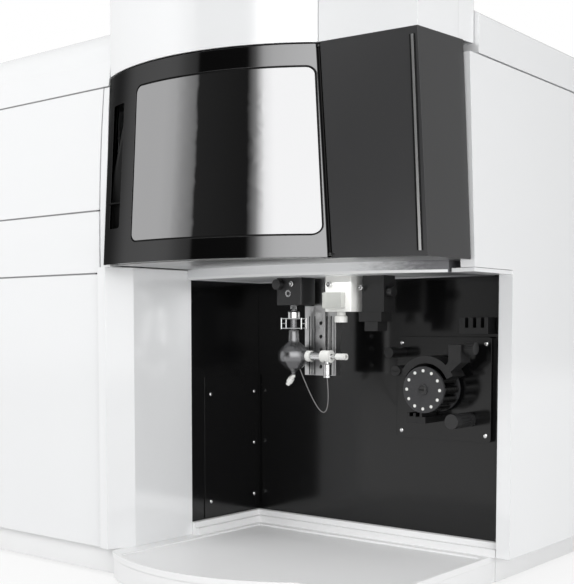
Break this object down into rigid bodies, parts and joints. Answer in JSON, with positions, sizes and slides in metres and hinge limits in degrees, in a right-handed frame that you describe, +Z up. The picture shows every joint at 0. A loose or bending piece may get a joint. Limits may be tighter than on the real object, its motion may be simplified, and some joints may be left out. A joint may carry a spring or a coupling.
{
  "type": "optical emission spectrometer",
  "caption": "Bench spectrometer cabinet with a rising torch hood, hinged dark door, open sample bay, roller pump and drip tray.",
  "frame": {"origin": "centre of the bounding box's base, on the bench", "axes": "+X to the sample bay's side, +Y to the rear, +Z up"},
  "size_m": [0.99, 0.856, 0.94],
  "materials": {
    "white_paint": "fine satin",
    "white_moulding": "satin",
    "dark_gloss": "gloss",
    "smoked_window": "tinted, polished",
    "black_wall": "semi-gloss",
    "black_plastic": "satin",
    "brushed_metal": "brushed",
    "grey_metal": "satin",
    "black_rubber": "matt",
    "copper": "bright copper",
    "quartz": "clear",
    "clear_plastic": "clear, tinted",
    "dark_glass": "dark amber",
    "dark_metal": "dark anodised",
    "bright_metal": "polished",
    "white_plastic": "gloss",
    "clear_tube": "translucent"
  },
  "bodies": {
    "case": {"front_panel_lower": "white_paint", "front_panel_middle": "white_paint", "front_panel_upper": "white_paint", "left_side_panel": "white_paint", "right_side_panel": "white_paint", "hood_facet": "dark_gloss", "door_hinges": "brushed_metal", "hood_trim": "brushed_metal", "hood_floor": "brushed_metal", "bay_ceiling": "brushed_metal", "corner_column": "white_paint", "bay_left_wall": "black_wall", "bay_wall_cover": "black_wall", "bay_back_wall": "black_wall", "tray": "white_moulding", "tray_skirt": "white_moulding", "plinth": "white_moulding", "feet": "black_rubber", "body_frame": "grey_metal", "top_cap": "white_paint", "tower_front": "white_paint", "tower_side": "white_paint", "torch_box": "grey_metal", "exhaust_duct": "brushed_metal", "torch": "quartz", "load_coil": "copper", "rear_panel": "white_paint", "rear_services": "black_plastic", "optics_module": "grey_metal", "rf_generator": "grey_metal", "pump_plate": "black_wall", "pump_motor": "grey_metal", "pump_posts": "black_plastic", "tube_fork": "black_plastic", "small_screws": "brushed_metal", "torch_mount": "black_plastic", "stand_rail": "brushed_metal", "stand_block": "white_plastic", "clear_cube": "clear_plastic", "side_block": "black_plastic", "spray_chamber": "dark_glass", "chamber_clip": "brushed_metal", "nebuliser": "bright_metal", "nebuliser_collars": "white_plastic", "drain_fitting": "white_plastic", "capillary": "clear_tube"},
    "door": {"door_shell": "dark_gloss", "door_window": "smoked_window", "door_window_seal": "dark_gloss", "door_handle_cup": "dark_gloss"},
    "rotor": {"pump_rotor": "dark_metal", "pump_rollers": "bright_metal", "roller_pins": "white_plastic"},
    "shoe": {"pump_shoe": "black_plastic"},
    "wheel": {"shoe_wheel": "black_plastic"},
    "lower_knob": {"pump_knob": "black_plastic"},
    "torch_knob": {"mount_knob": "black_plastic"},
    "block_knob": {"side_knob": "black_plastic"},
    "fan": {"rear_fan": "black_plastic"},
    "rocker": {"power_rocker": "black_plastic"}
  },
  "joints": [
    {"name": "door_hinge", "type": "hinge", "parent": "case", "child": "door", "pos_m": [0.35952, -0.32103, 0.475], "axis": [-0.1002, 0.038, 0.9942], "range_deg": [0, 105]},
    {"name": "rotor_spin", "type": "hinge", "parent": "case", "child": "rotor", "pos_m": [0.375, -0.087, 0.2915], "axis": [0, 1, 0], "continuous": true},
    {"name": "shoe_pivot", "type": "hinge", "parent": "case", "child": "shoe", "pos_m": [0.3244, -0.087, 0.318], "axis": [0, -1, 0], "range_deg": [0, 60]},
    {"name": "wheel_spin", "type": "hinge", "parent": "shoe", "child": "wheel", "pos_m": [0.444, -0.0955, 0.3535], "axis": [1, 0, 0], "continuous": true},
    {"name": "lower_knob_turn", "type": "hinge", "parent": "case", "child": "lower_knob", "pos_m": [0.4216, -0.083, 0.2465], "axis": [0, 1, 0], "range_deg": [0, 90]},
    {"name": "torch_knob_turn", "type": "hinge", "parent": "case", "child": "torch_knob", "pos_m": [0.148, -0.173, 0.45], "axis": [0, 1, 0], "range_deg": [0, 180]},
    {"name": "block_knob_turn", "type": "hinge", "parent": "case", "child": "block_knob", "pos_m": [0.335, -0.138, 0.436], "axis": [1, 0, 0], "range_deg": [0, 180]},
    {"name": "fan_spin", "type": "hinge", "parent": "case", "child": "fan", "pos_m": [-0.2, 0.405, 0.25], "axis": [0, 1, 0], "continuous": true},
    {"name": "rocker_tilt", "type": "hinge", "parent": "case", "child": "rocker", "pos_m": [0.292, 0.4185, 0.11], "axis": [1, 0, 0], "range_deg": [0, 14]}
  ]
}
